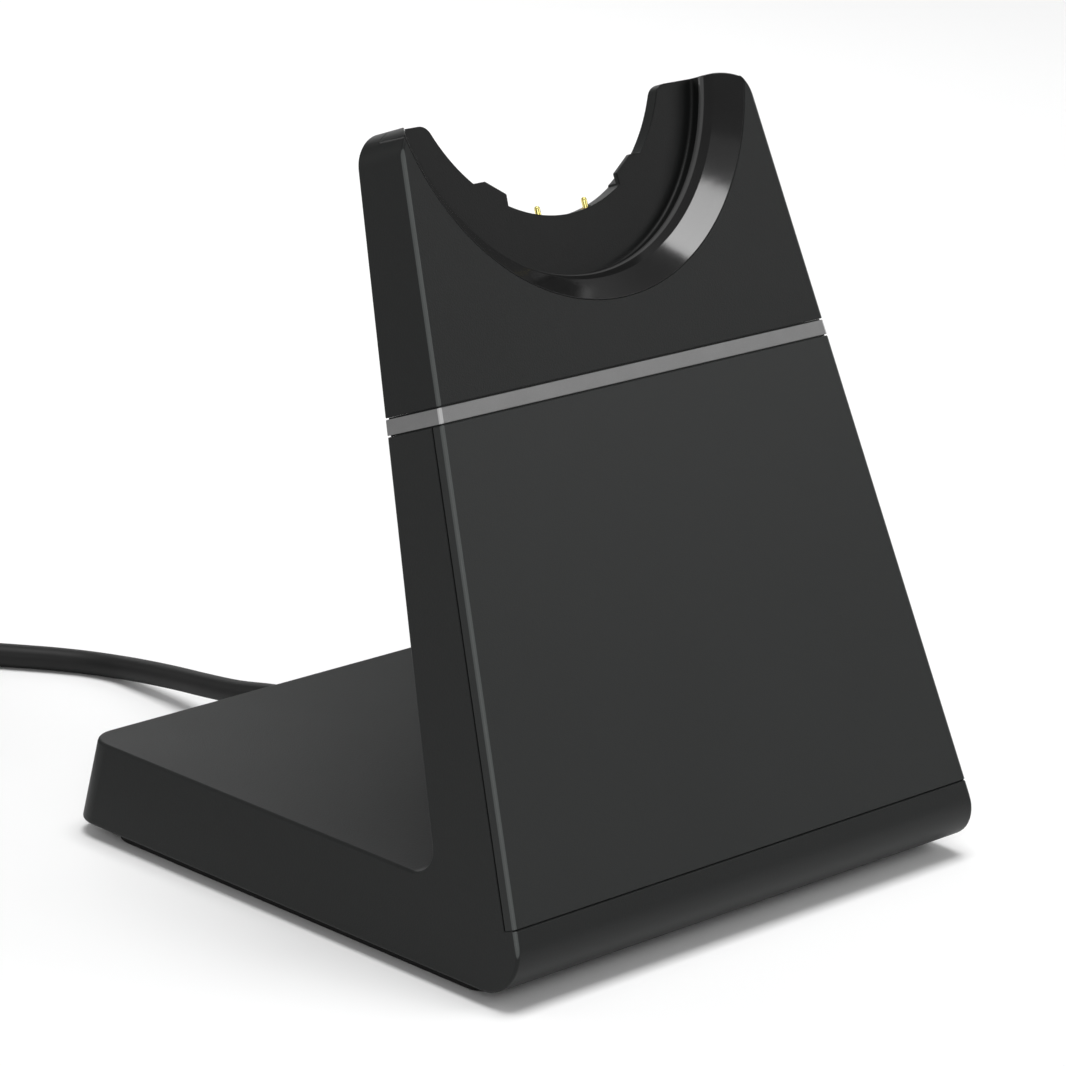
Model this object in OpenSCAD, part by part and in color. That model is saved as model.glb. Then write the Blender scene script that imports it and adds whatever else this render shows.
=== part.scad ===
// Desk charging stand for an office headset, with its USB cable.
// Origin: centre of the footprint, on the desk. +X right, +Y to the back, +Z up. Millimetres.
//
// Two frames are used below. on_base() starts at the front corner of the underside, where the front
// face would meet it without the toe's rounding. on_face() starts there too and leans back with the
// front face, so that y is a depth behind that face and z a distance up it.

/* [Housing] */
// Width across the underside of the housing
base_w = 96; // [92:1:100]
// Depth from the front face's corner to the back of the base
base_d = 88; // [86:1:96]
// Height of the flat base slab
slab_h = 11.8; // [11.4:0.2:13]
// Backward lean of the front face, degrees
lean = 23; // [21:0.5:25]
// Inward lean of both side faces, degrees
side_lean = 7.2; // [6.8:0.1:7.3]
// Length of the front face, up to the flat top of the horns
face_len = 115.5; // [114:0.5:116]
// Depth of the upright where its faces meet the underside
upright_d = 13.7; // [13.6:0.1:15]
// Angle by which the upright's back closes on its front, degrees
upright_taper = 2.7; // [2.4:0.1:2.8]
// Radius of the toe below the front panel
toe_r = 5.3; // [4.5:0.1:5.6]
// Wall of the mouldings
wall = 2; // [1.8:0.1:2]

/* [Front panel and band] */
// Distance up the face to the ledge below the front panel
panel_from = 10.2; // [10:0.2:12]
// Thickness of the front panel
panel_t = 1.7; // [1.6:0.1:1.8]
// Distance up the face to the slot that holds the band
band_from = 76.2; // [75.8:0.1:76.4]
// Height of the band
band_h = 2.1; // [1.8:0.1:2.2]
// Gap between neighbouring outside pieces
seam = 0.2; // [0.15:0.05:0.25]

/* [Cradle] */
// Radius of the glossy ring on the front face
ring_r = 34.75; // [34.5:0.05:34.9]
// Radius of the opening inside the ring
ring_in_r = 30.7; // [30.4:0.1:31]
// Distance up the face to the ring's centre
ring_s = 122.4; // [122.2:0.1:123]
// Depth of the dished seat behind the front face
dish_d = 6.5; // [6.2:0.1:6.6]
// Radius of the open notch
notch_r = 25.1; // [24.8:0.1:25.4]
// Distance up the face to the notch's centre
notch_s = 125.4; // [125.2:0.1:125.8]

/* [Charging pins] */
// Distance between the two spring pins
pin_pitch = 9.4; // [8:0.2:11]
// Diameter of a plunger's tip
pin_d = 0.8; // [0.7:0.05:0.85]
// Distance up the face to the tips
pin_top = 102.2; // [102:0.1:102.4]

/* [Foot and cable] */
// Thickness of the rubber foot
foot_h = 2; // [1.5:0.1:2.5]
// Inset of the foot from the housing's sides
foot_inset = 2.6; // [2.6:0.1:5]
// Diameter of the cable
cable_d = 3.6; // [3.4:0.1:3.7]

/* [Hidden] */
$fn = 96;
near = 0.02;                                  // clearance of pieces that only locate each other

// Where the toe's arc meets the underside, and the front corner in the row's frame
toe_c = toe_r * (1 + sin(lean)) / cos(lean);
corner_y = -(base_d + toe_c - toe_r) / 2;

// Base slab
slab_draft = 4.4;                             // lean of the back of the slab, degrees
slab_corner_r = 4.5;
heel_r = 3;                                   // fillet between slab and upright
ceiling = slab_h - wall;
open_y = toe_c + 1.4;                         // front edge of the opening in the underside
plate_t = 2;

// Upright
rear_lean = lean - upright_taper;
front_in = panel_t + seam + wall;             // inside of the wall behind the front panel
cavity_top = band_from - wall;
head_from = band_from + band_h + 2 * seam;
neck_top = 83;
neck_x = 36.4;
neck_from = 2.15;
neck_to = 7.6;
neck_wall = 1.2;

// Head
horn_r = 4.7;                                 // outer corners of the horns
horn_in_r = 2.2;                              // inner corners of the horns
crown_r = 0.6;                                // back edge of the top
ring_mid_r = 31.6;                            // where the ring's bevel ends
ring_mid_d = 2.9;
ring_in_d = 4.46;
ring_back = 5;
ring_land = 1.35;                             // wall behind the ring's recess
dish_fillet = 1.3;
peg_r = 1;
peg_angles = [-140, -90, -40];

// Hooks of the front panel, and the rib under the base's roof
hook_w = 6;
hook_xs = [-28, 0, 28];
hook_rows = [18, 66];
roof_rib_y = 20;

// Charging pins
pin_depth = 7.7;                              // depth of the pins behind the front face
pin_seat = notch_s - sqrt(pow(notch_r, 2) - pow(pin_pitch / 2, 2)) - 0.05;
barrel_r = 0.75;
barrel_len = 8.7;
barrel_bore_r = 0.5;
mouth_h = 0.7;
tail_r = 0.3;
collar_h = 2;
board_s = 84.4;                               // underside of the contact board
board_t = 1.2;

// Inside the base
base_screw_r = 1.25;
base_screws_at = [[-41, 26], [41, 26], [-41, 80], [41, 80]];
ballast_w = 72;
ballast_d = 34;
ballast_t = 4;
ballast_y = 22.5;
ballast_z = 2.6;
ballast_screws_at = [[-30, 39.5], [30, 39.5]];
power_w = 44;
power_d = 18;
power_y = 60;
power_z = 6;
power_screws_at = [[-19, 64], [19, 64]];
clamp_y = 81.6;
clamp_d = 2;
clamp_screw_x = 5.5;

// Cable: z above the underside of the housing, like everything in the base
cable_z = 6;
cable_r = cable_d / 2;
relief_neck_r = 3;
relief_flange_r = 3.4;
relief_face = base_d - 0.8;                   // spot face around the strain relief

// Rest of the cable, wound up on the desk
coil_at = [-47, 108];
coil_in_r = 17.4;
coil_out_r = 24.6;
coil_h = 14.4;
coil_round = 1.8;
tie_w = 7;
tie_t = 0.5;
tie_angle = -60;
plug_at = [-96, 84];                          // where the plug's overmould begins
plug_angle = 265;                             // direction it points, in plan
plug_z = 4;

function rear_d(s) = upright_d - s * tan(upright_taper);
function face_point(d, s) = [d * cos(lean) + s * sin(lean), s * cos(lean) - d * sin(lean)];
function polar(r, a) = [r * cos(a), r * sin(a)];

heel_y = face_point(rear_d(0), 0)[0] + (slab_h - face_point(rear_d(0), 0)[1]) * tan(rear_lean);

// Hand-chosen points along the cable, from inside the base to the coil, then from the coil to the plug
cable_route = [
  [0, 35.7, 8], [0, 44, 8], [-0.2, 51, 7.2], [-0.6, 58, 5.9], [-0.4, 65, 4.9],
  [0.2, 72, 3.9], [0.4, 79, 2.9], [0.2, 84.5, 2.1], [-1.6, 89.4, 1.8], [-4.4, 93.4, 1.8],
  [-7.4, 97, 1.8], [-12, 102.2, 1.8], [-17, 108, 1.8], [-22, 114, 1.8], [-26, 119, 1.8],
  [-30, 124, 1.8]
];
tail_route = [
  [-61.8, 125.3, 12.6], [-68, 120, 12], [-74.4, 114.6, 10], [-80.6, 109, 7.2], [-86, 103.2, 4.8],
  [-90.8, 97.2, 3.7], [-94.2, 90.8, 3.6], [-96, 84, 4]
];
wire_route = [
  [power_y, power_z + 0.6], [54, 7.8], [48, 8.2], [30, 8.2], [19, 8.2], [16, 8.9], [14.4, 11],
  face_point(7.4, 20), face_point(7, 40), face_point(6.6, 60), face_point(6.3, 68.6),
  face_point(5, 74.5), face_point(5, board_s)
];

// Frames and directions

module on_base() {
  translate([0, corner_y, foot_h])
    children();
}

module on_face() {
  on_base()
    rotate([-lean, 0, 0])
      children();
}

// An outline in depth and height, drawn out across the width
module across(w) {
  rotate([90, 0, 90])
    linear_extrude(w, center = true)
      children();
}

// An outline in width and height, drawn back through a range of depths
module through(from, to) {
  translate([0, to, 0])
    rotate([90, 0, 0])
      linear_extrude(to - from)
        children();
}

// A block by its three ranges
module block(x, y, z) {
  translate([x[0], y[0], z[0]])
    cube([x[1] - x[0], y[1] - y[0], z[1] - z[0]]);
}

module both_sides() {
  children();
  mirror([1, 0, 0])
    children();
}

// What a round of radius r takes off a corner: the directions a and b point at the two faces
module corner_waste(r, a, b) {
  difference() {
    polygon([[0, 0], polar(1.6 * r, a), polar(2.6 * r, (a + b) / 2), polar(1.6 * r, b)]);
    circle(r + 0.01);
  }
}

module rounded_rect(x, y, r) {
  square_x = [x[0] + r, x[1] - r];
  square_y = [y[0] + r, y[1] - r];
  translate([x[0], square_y[0]])
    square([x[1] - x[0], square_y[1] - square_y[0]]);
  translate([square_x[0], y[0]])
    square([square_x[1] - square_x[0], y[1] - y[0]]);
  for (cx = square_x, cy = square_y)
    translate([cx, cy])
      circle(r);
}

// A round tube through a list of points; ref is a direction the route never takes
module tube(route, d, sides = 8, ref = [0, 0, 1]) {
  last = len(route) - 1;
  function along(i) = route[min(i + 1, last)] - route[max(i - 1, 0)];
  function side(i) = cross(ref, along(i)) / norm(cross(ref, along(i)));
  function rise(i) = cross(along(i), side(i)) / norm(along(i));
  rings = [
    for (i = [0 : last], k = [0 : sides - 1])
      route[i] + d / 2 * (cos(360 * k / sides) * side(i) + sin(360 * k / sides) * rise(i))
  ];
  walls = [
    for (i = [0 : last - 1], k = [0 : sides - 1])
      let (a = i * sides + k, b = i * sides + (k + 1) % sides)
        [a, a + sides, b + sides, b]
  ];
  start = [for (k = [0 : sides - 1]) k];
  finish = [for (k = [sides - 1 : -1 : 0]) last * sides + k];
  polyhedron(rings, concat([start], walls, [finish]));
}

// A cross-head screw pointing up, its head's seat at z = 0
module screw(r, length, head_r, head_h) {
  difference() {
    union() {
      translate([0, 0, -head_h])
        cylinder(h = head_h, r = head_r);
      cylinder(h = length, r = r);
    }
    cross_recess(head_r, -head_h);
  }
}

module cross_recess(head_r, z) {
  for (turn = [0, 90])
    rotate(turn)
      translate([0, 0, z])
        cube([head_r * 1.1, head_r * 0.25, 1.2], center = true);
}

// Outer form of the housing. Its arcs stand a hundredth proud, to cross the flats they run into.

module toe_round(r) {
  translate([toe_c, toe_r])
    circle(r);
}

module heel_fillet() {
  centre = [heel_y + heel_r * (tan(rear_lean) + 1 / cos(rear_lean)), slab_h + heel_r];
  touch = centre + heel_r * [-cos(rear_lean), sin(rear_lean)];
  difference() {
    polygon([[heel_y - 1, slab_h - 1], [centre[0], slab_h - 1], centre, touch, touch - [1, 0]]);
    translate(centre)
      circle(heel_r + 0.01);
  }
}

module crown_waste() {
  s = face_len - crown_r;
  rotate(-lean)
    translate([rear_d(s) - crown_r / cos(upright_taper), s])
      corner_waste(crown_r, upright_taper, 90);
}

module side_outline() {
  difference() {
    union() {
      polygon([
        [toe_c, 0], [base_d, 0], [base_d - slab_h * tan(slab_draft), slab_h], [heel_y, slab_h],
        face_point(rear_d(face_len), face_len), face_point(0, face_len), face_point(0, toe_c)
      ]);
      toe_round(toe_r + 0.01);
      heel_fillet();
    }
    crown_waste();
  }
}

// Everything between the two leaning side faces, moved in by inset
module between_sides(inset) {
  top = 120;
  foot_x = base_w / 2 - inset / cos(side_lean);
  top_x = foot_x - top * tan(side_lean);
  low_x = foot_x + 5 * tan(side_lean);
  translate([0, -10, 0])
    through(0, base_d + 20)
      polygon([[-low_x, -5], [low_x, -5], [top_x, top], [-top_x, top]]);
}

module slab_corner_waste() {
  translate([base_w / 2 - slab_corner_r / cos(side_lean), base_d - slab_corner_r / cos(slab_draft), 0])
    rotate([atan(tan(slab_draft) * cos(side_lean)), -side_lean, 0])
      translate([0, 0, -2])
        linear_extrude(slab_h + 4)
          corner_waste(slab_corner_r, 0, 90);
}

module horn_waste() {
  s = face_len - horn_r;
  x = base_w / 2 - horn_r / cos(side_lean) - s * cos(lean) * tan(side_lean);
  side_face = atan(cos(lean) * tan(side_lean));
  rotate([-lean, 0, 0])
    translate([x, 0, s])
      rotate([0, 0, -atan(sin(lean) * tan(side_lean))])
        through(-3, 13)
          corner_waste(horn_r, side_face, 90);
}

module housing() {
  difference() {
    intersection() {
      across(base_w + 2)
        side_outline();
      between_sides(0);
    }
    both_sides() {
      slab_corner_waste();
      horn_waste();
    }
  }
}

// The part of the housing between two distances up the face
module housing_slice(from, to) {
  intersection() {
    housing();
    rotate([-lean, 0, 0])
      block([-base_w, base_w], [-20, base_d + 20], [from, to]);
  }
}

// Body shell

module cavity_outline() {
  roof_y = heel_y - wall * (tan(rear_lean) + 1 / cos(rear_lean));
  polygon([
    [open_y, -1], [open_y, wall], [toe_c, wall], face_point(wall, toe_c),
    face_point(wall, panel_from - wall), face_point(front_in, panel_from - wall),
    face_point(front_in, cavity_top), face_point(rear_d(cavity_top) - wall, cavity_top),
    [roof_y, ceiling], [base_d - wall - ceiling * tan(slab_draft), ceiling], [base_d - wall, -1]
  ]);
  toe_round(toe_r - wall + 0.01);
}

module neck_opening() {
  block([-neck_x + neck_wall, neck_x - neck_wall], [neck_from + neck_wall, neck_to - neck_wall],
        [cavity_top - 1, neck_top + 1]);
}

// Wedges near the top of the neck that snap into the head
module neck_lugs() {
  for (x = [-20, 20])
    translate([x, 0, 0])
      across(8)
        polygon([[neck_from + 0.5, 79.8], [neck_from - 0.6, 79.8], [neck_from + 0.5, 82.2]]);
}

module neck() {
  difference() {
    union() {
      block([-neck_x, neck_x], [neck_from, neck_to], [cavity_top, neck_top]);
      neck_lugs();
    }
    neck_opening();
  }
}

module hook_windows() {
  for (x = hook_xs, s = hook_rows)
    block([x - hook_w / 2 - 0.3, x + hook_w / 2 + 0.3], [0, front_in + 1], [s - 0.2, s + 2.4]);
}

// Screw posts hanging from the slab's ceiling
module posts(places, r, bottom) {
  for (at = places)
    translate([at[0], at[1], bottom])
      cylinder(h = ceiling + 0.5 - bottom, r = r);
}

module post_bores(places, r, bottom) {
  for (at = places)
    translate([at[0], at[1], bottom - 1])
      cylinder(h = ceiling - bottom + 0.6, r = r);
}

module base_ribs() {
  for (x = [-14, 14])
    block([x - 0.6, x + 0.6], [roof_rib_y, base_d - wall - 1], [ceiling - 1, ceiling + 0.5]);
}

module cable_saddle() {
  block([-clamp_screw_x - 2.5, clamp_screw_x + 2.5], [clamp_y, clamp_y + clamp_d],
        [cable_z + cable_r, ceiling + 0.5]);
}

module relief_hole() {
  translate([0, base_d + 1, cable_z])
    rotate([90, 0, 0]) {
      cylinder(h = base_d + 1 - relief_face, r = relief_flange_r + 0.2);
      cylinder(h = 8, r = relief_neck_r + near);
    }
}

module body_shell() {
  color([0.16, 0.17, 0.17])
  on_base() {
    difference() {
      union() {
        difference() {
          housing_slice(-60, band_from);
          intersection() {
            across(base_w)
              cavity_outline();
            between_sides(wall);
          }
        }
        posts(base_screws_at, 3, plate_t);
        posts(ballast_screws_at, 2.6, ballast_z + ballast_t);
        posts(power_screws_at, 2.2, power_z + board_t);
        base_ribs();
        cable_saddle();
        rotate([-lean, 0, 0])
          neck();
      }
      rotate([-lean, 0, 0]) {
        block([-base_w, base_w], [-5, panel_t + seam], [panel_from, band_from + 1]);
        neck_opening();
        hook_windows();
      }
      post_bores(base_screws_at, base_screw_r + near, plate_t);
      post_bores(ballast_screws_at, 1 + near, ballast_z + ballast_t);
      post_bores(power_screws_at, 0.8 + near, power_z + board_t);
      for (x = [-clamp_screw_x, clamp_screw_x])
        translate([x, clamp_y + clamp_d / 2, 2])
          cylinder(h = ceiling - 2.5, r = 0.6 + near);
      relief_hole();
    }
  }
}

// Front panel: a plate over the front wall, held by hooks that reach through the wall

module panel_hooks() {
  for (x = hook_xs, s = hook_rows)
    translate([x, 0, s])
      across(hook_w)
        polygon([
          [panel_t - 0.5, 0], [front_in + 1.2, 0], [front_in + 1.2, 1.2], [front_in + near, 2],
          [front_in + near, 1.2], [panel_t - 0.5, 1.2]
        ]);
}

module panel_pads() {
  for (x = [-40, 40], s = [14, 70])
    translate([sign(x) * (abs(x) - s * 0.116), panel_t - 0.5, s])
      rotate([-90, 0, 0])
        cylinder(h = seam + 0.5, r = 1.5);
}

module front_panel() {
  color([0.2, 0.2, 0.2])
  on_base() {
    intersection() {
      housing_slice(panel_from + seam, band_from);
      rotate([-lean, 0, 0])
        block([-base_w, base_w], [-5, panel_t], [0, band_from + 1]);
    }
    rotate([-lean, 0, 0]) {
      panel_hooks();
      panel_pads();
    }
  }
}

// Accent band: a flat frame around the neck, trapped between body and head

module accent_band() {
  hole_x = neck_x + 0.15;
  hole_from = neck_from - 0.15;
  hole_to = neck_to + 0.15;
  color([0.45, 0.46, 0.46])
  on_base()
    difference() {
      union() {
        housing_slice(band_from + seam, band_from + seam + band_h);
        rotate([-lean, 0, 0])
          block([-hole_x - 1, hole_x + 1], [hole_from - 0.8, hole_to + 1], [band_from, head_from]);
      }
      rotate([-lean, 0, 0])
        block([-hole_x, hole_x], [hole_from, hole_to], [band_from - 1, head_from + 1]);
    }
}

// Head shell: two horns around a dished seat and an open notch

// A round cut or part on the ring's axis, from a profile in radius and depth
module ring_turned() {
  translate([0, 0, ring_s])
    rotate([-90, 0, 0])
      rotate_extrude()
        children();
}

module dish_profile() {
  translate([0, -3])
    square([ring_in_r - dish_fillet, dish_d + 3]);
  translate([0, -3])
    square([ring_in_r, dish_d - dish_fillet + 3]);
  translate([ring_in_r - dish_fillet, dish_d - dish_fillet])
    circle(dish_fillet);
}

module notch_tab() {
  polygon([
    [notch_chord(106.7), 106.7], [14.5, 106.7], [11, 104.5], [notch_chord(102.9), 102.9],
    [14, 101], [19, 105]
  ]);
}

function notch_chord(s) = sqrt(pow(notch_r, 2) - pow(notch_s - s, 2));

module horn_inner_waste() {
  s = face_len - horn_in_r;
  x = sqrt(pow(notch_r + horn_in_r, 2) - pow(notch_s - s, 2));
  toward_notch = 90 + atan(x / (notch_s - s));
  translate([x, s])
    corner_waste(horn_in_r, 90, toward_notch);
}

module notch_outline() {
  difference() {
    translate([0, notch_s])
      circle(notch_r);
    notch_tab();
    mirror([1, 0])
      notch_tab();
  }
  horn_inner_waste();
  mirror([1, 0])
    horn_inner_waste();
}

module head_cavity() {
  top = 104;
  difference() {
    across(base_w)
      polygon([
        [wall, head_from - 1], [wall, top], [rear_d(top) - wall, top],
        [rear_d(head_from - 1) - wall, head_from - 1]
      ]);
    ring_turned()
      square([ring_r + seam + ring_land, 20]);
  }
}

module board_pocket() {
  block([-10.5, 10.5], [wall + 1, 8.6], [neck_top - 1, ring_s - ring_r - seam - ring_land]);
}

module peg_places() {
  for (a = peg_angles)
    translate([polar(32.8, a)[0], 0, ring_s + polar(32.8, a)[1]])
      rotate([-90, 0, 0])
        children();
}

module pin_places() {
  for (x = [-pin_pitch / 2, pin_pitch / 2])
    pin_place(x)
      children();
}

// The charging pins' own frame: z = 0 on the seat where a barrel ends
module pin_place(x) {
  translate([x, pin_depth, pin_seat])
    children();
}

module pin_bores() {
  pin_places() {
    translate([0, 0, -barrel_len - near])
      cylinder(h = barrel_len + 2, r = barrel_r + near);
    translate([0, 0, -20])
      cylinder(h = 20, r = tail_r + near);
  }
}

module lug_pockets() {
  for (x = [-20, 20])
    block([x - 4.3, x + 4.3], [neck_from - 0.8, wall + 1], [79.6, 82]);
}

module head_shell() {
  color([0.17, 0.18, 0.18])
  on_base()
    difference() {
      housing_slice(head_from, face_len + 5);
      intersection() {
        rotate([-lean, 0, 0])
          head_cavity();
        between_sides(wall);
      }
      rotate([-lean, 0, 0]) {
        ring_turned() {
          translate([0, -3])
            square([ring_r + seam, ring_back + 3]);
          dish_profile();
        }
        through(-3, 15)
          notch_outline();
        peg_places()
          cylinder(h = ring_back + 2.3, r = peg_r + near);
        pin_bores();
        board_pocket();
        lug_pockets();
      }
    }
}

// Cradle ring: bevelled on the front, located by three pegs

module cradle_ring() {
  color([0.03, 0.03, 0.03])
  on_base() {
    intersection() {
      housing();
      rotate([-lean, 0, 0])
        ring_turned()
          polygon([
            [ring_r, 0], [ring_mid_r, ring_mid_d], [ring_in_r, ring_in_d],
            [ring_in_r, ring_back], [ring_r, ring_back]
          ]);
    }
    rotate([-lean, 0, 0])
      peg_places()
        translate([0, 0, ring_back - 0.3])
          cylinder(h = 2.3, r = peg_r);
  }
}

// Charging pins: a plunger, its barrel and its spring

module pin_plunger(side) {
  tip = pin_top - pin_seat - pin_d / 2;
  collar_top = -mouth_h - near;
  color([0.85, 0.68, 0.3])
  on_face()
    pin_place(side * pin_pitch / 2) {
      translate([0, 0, collar_top - 0.5])
        cylinder(h = tip - collar_top + 0.5, r = pin_d / 2);
      translate([0, 0, tip])
        sphere(pin_d / 2);
      translate([0, 0, collar_top - collar_h])
        cylinder(h = collar_h, r = barrel_bore_r - 0.04);
    }
}

module pin_barrel(side) {
  color([0.8, 0.65, 0.35])
  on_face()
    pin_place(side * pin_pitch / 2) {
      difference() {
        translate([0, 0, -barrel_len])
          cylinder(h = barrel_len, r = barrel_r);
        translate([0, 0, -barrel_len + 0.8])
          cylinder(h = barrel_len - 0.8 - mouth_h, r = barrel_bore_r);
        translate([0, 0, -mouth_h - 0.5])
          cylinder(h = mouth_h + 1, r = pin_d / 2 + 0.04);
      }
      translate([0, 0, board_s - pin_seat - 0.4])
        cylinder(h = pin_seat - board_s + 0.4 - barrel_len + 0.2, r = tail_r);
    }
}

module pin_spring(side) {
  wire = 0.14;
  r = barrel_bore_r - 0.05 - wire / 2;
  bottom = -barrel_len + 0.8 + near + wire / 2;
  top = -mouth_h - collar_h - 2 * near - wire / 2;
  turns = 9;
  steps = 10;
  color([0.75, 0.76, 0.78])
  on_face()
    pin_place(side * pin_pitch / 2)
      tube([
        for (i = [0 : turns * steps])
          [r * cos(360 * i / steps), r * sin(360 * i / steps),
           bottom + (top - bottom) * i / (turns * steps)]
      ], wire, 5);
}

module contact_board() {
  color([0.1, 0.3, 0.2])
  on_face()
    difference() {
      block([-9, 9], [wall + 0.8, 8.5], [board_s, board_s + board_t]);
      pin_places()
        translate([0, 0, -25])
          cylinder(h = 20, r = tail_r + near);
    }
}

module contact_wires() {
  color([0.5, 0.1, 0.1])
  on_base()
    for (x = [-2, 2])
      tube([for (p = wire_route) [x, p[0], p[1]]], 1.2, 8, [1, 0, 0]);
}

// Inside the base

module ballast_plate() {
  color([0.55, 0.55, 0.57])
  on_base()
    difference() {
      translate([0, 0, ballast_z])
        linear_extrude(ballast_t)
          rounded_rect([-ballast_w / 2, ballast_w / 2], [ballast_y, ballast_y + ballast_d], 3);
      for (at = ballast_screws_at)
        translate([at[0], at[1], 0]) {
          cylinder(h = 10, r = 1.2);
          cylinder(h = ballast_z + 1.5, r = 2.3);
        }
    }
}

module ballast_screws() {
  color([0.6, 0.6, 0.62])
  on_base()
    for (at = ballast_screws_at)
      translate([at[0], at[1], ballast_z + 1.5])
        screw(1, 5, 2, 1.3);
}

module power_board() {
  color([0.1, 0.32, 0.2])
  on_base()
    difference() {
      block([-power_w / 2, power_w / 2], [power_y, power_y + power_d], [power_z, power_z + board_t]);
      for (at = power_screws_at)
        translate([at[0], at[1], 0])
          cylinder(h = 10, r = 1);
    }
}

module power_screws() {
  color([0.6, 0.6, 0.62])
  on_base()
    for (at = power_screws_at)
      translate([at[0], at[1], power_z])
        screw(0.8, 3.4, 1.6, 1.1);
}

module charge_chip() {
  color([0.05, 0.05, 0.05])
  on_base()
    block([-12, -5], [64, 71], [power_z - 1, power_z]);
}

// Straddles the back edge of the power board and takes the cable's end
module cable_connector() {
  color([0.9, 0.9, 0.85])
  on_base()
    difference() {
      block([-5, 5], [power_y + power_d - 3, 81], [cable_z - 2.6, cable_z + 2.6]);
      block([-6, 6], [power_y + power_d - 4, power_y + power_d + near],
            [power_z - near, power_z + board_t + near]);
    }
}

module cable_clamp() {
  color([0.12, 0.12, 0.12])
  on_base()
    difference() {
      block([-clamp_screw_x - 2, clamp_screw_x + 2], [clamp_y, clamp_y + clamp_d],
            [cable_z - 2.8, cable_z - 0.4]);
      translate([0, clamp_y + clamp_d + 1, cable_z])
        rotate([90, 0, 0])
          cylinder(h = clamp_d + 2, r = cable_r);
      for (x = [-clamp_screw_x, clamp_screw_x])
        translate([x, clamp_y + clamp_d / 2, 0])
          cylinder(h = 10, r = 0.7);
    }
}

module clamp_screws() {
  color([0.6, 0.6, 0.62])
  on_base()
    for (x = [-clamp_screw_x, clamp_screw_x])
      translate([x, clamp_y + clamp_d / 2, cable_z - 2.8])
        screw(0.6, 5.8, 0.95, 0.8);
}

module base_plate() {
  color([0.1, 0.1, 0.1])
  on_base()
    difference() {
      linear_extrude(plate_t)
        rounded_rect([-base_w / 2 + 2.4, base_w / 2 - 2.4], [open_y + seam, base_d - 2.4], 2);
      for (at = base_screws_at)
        translate([at[0], at[1], 0]) {
          translate([0, 0, -1])
            cylinder(h = 4, r = base_screw_r + 0.2);
          translate([0, 0, 0.1])
            cylinder(h = 1.4, r1 = 2.5 + near, r2 = base_screw_r + near);
          translate([0, 0, -0.1])
            cylinder(h = 0.21, r = 2.5 + near);
        }
    }
}

module base_screws() {
  color([0.5, 0.5, 0.52])
  on_base()
    for (at = base_screws_at)
      translate([at[0], at[1], 0.1])
        difference() {
          union() {
            cylinder(h = 1.4, r1 = 2.5, r2 = base_screw_r);
            cylinder(h = 7, r = base_screw_r);
          }
          cross_recess(2.5, 0);
        }
}

module foot_pad() {
  color([0.04, 0.04, 0.04])
  on_base()
    translate([0, 0, -foot_h])
      linear_extrude(foot_h)
        rounded_rect([-base_w / 2 + foot_inset, base_w / 2 - foot_inset], [open_y + 0.8, 82], 3);
}

// USB cable

// A turned piece on the cable's axis, from a profile in radius and depth
module cable_turned() {
  translate([0, 0, cable_z])
    rotate([-90, 0, 0])
      rotate_extrude()
        children();
}

module strain_relief() {
  inner_face = base_d - wall - 0.8;
  color([0.05, 0.05, 0.05])
  on_base()
    cable_turned()
      polygon([
        [cable_r, inner_face - 1], [relief_flange_r, inner_face - 1], [relief_flange_r, inner_face],
        [relief_neck_r, inner_face], [relief_neck_r, relief_face], [relief_flange_r, relief_face],
        [relief_flange_r, relief_face + 0.9], [relief_neck_r - 0.4, relief_face + 1.2],
        [cable_r + 0.3, relief_face + 6], [cable_r, relief_face + 6]
      ]);
}

module usb_cable() {
  color([0.08, 0.08, 0.08]) {
    tube(cable_route, cable_d - 0.02);
    tube(tail_route, cable_d - 0.02);
  }
}

module usb_cable_coil() {
  color([0.08, 0.08, 0.08])
  translate([coil_at[0], coil_at[1], 0])
    rotate_extrude()
      rounded_rect([coil_in_r, coil_out_r], [0, coil_h], coil_round);
}

module cable_tie() {
  mid_r = (coil_in_r + coil_out_r) / 2;
  half = (coil_out_r - coil_in_r) / 2;
  color([0.03, 0.03, 0.03])
  translate([coil_at[0], coil_at[1], 0])
    rotate(tie_angle)
      translate([mid_r, tie_w / 2, 0])
        rotate([90, 0, 0])
          linear_extrude(tie_w)
            difference() {
              rounded_rect([-half - tie_t, half + tie_t], [0, coil_h + 2 * tie_t], 1.6);
              rounded_rect([-half, half], [tie_t, coil_h + tie_t], 1.3);
            }
}

// The plug's frame: x along the plug from the back of its overmould
module on_plug() {
  translate([plug_at[0], plug_at[1], plug_z])
    rotate(plug_angle)
      children();
}

// A rounded bar along the plug
module plug_bar(x, w, h, r) {
  translate([x[0], 0, 0])
    rotate([90, 0, 90])
      linear_extrude(x[1] - x[0])
        rounded_rect([-w / 2, w / 2], [-h / 2, h / 2], r);
}

module usb_plug_body() {
  color([0.06, 0.06, 0.06])
  on_plug() {
    rotate([0, 90, 0])
      cylinder(h = 8.2, r1 = cable_r + 0.5, r2 = 3.2);
    plug_bar([8, 30], 15.5, 8, 1.5);
  }
}

module usb_plug_shell() {
  color([0.75, 0.75, 0.77])
  on_plug()
    difference() {
      plug_bar([30, 48.5], 12, 4.5, 0.4);
      plug_bar([30.5, 49], 11.4, 3.9, 0.2);
      for (y = [-3, 3])
        block([36, 38.5], [y - 1, y + 1], [-3, 3]);
    }
}

module usb_plug_tongue() {
  color([0.85, 0.85, 0.82])
  on_plug()
    difference() {
      block([30.5, 47.7], [-5.6, 5.6], [-1.93, -0.1]);
      for (y = [-3.5, -1, 1, 3.5])
        block([38, 46.5], [y - 0.6, y + 0.6], [-0.4, 0]);
    }
}

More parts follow.
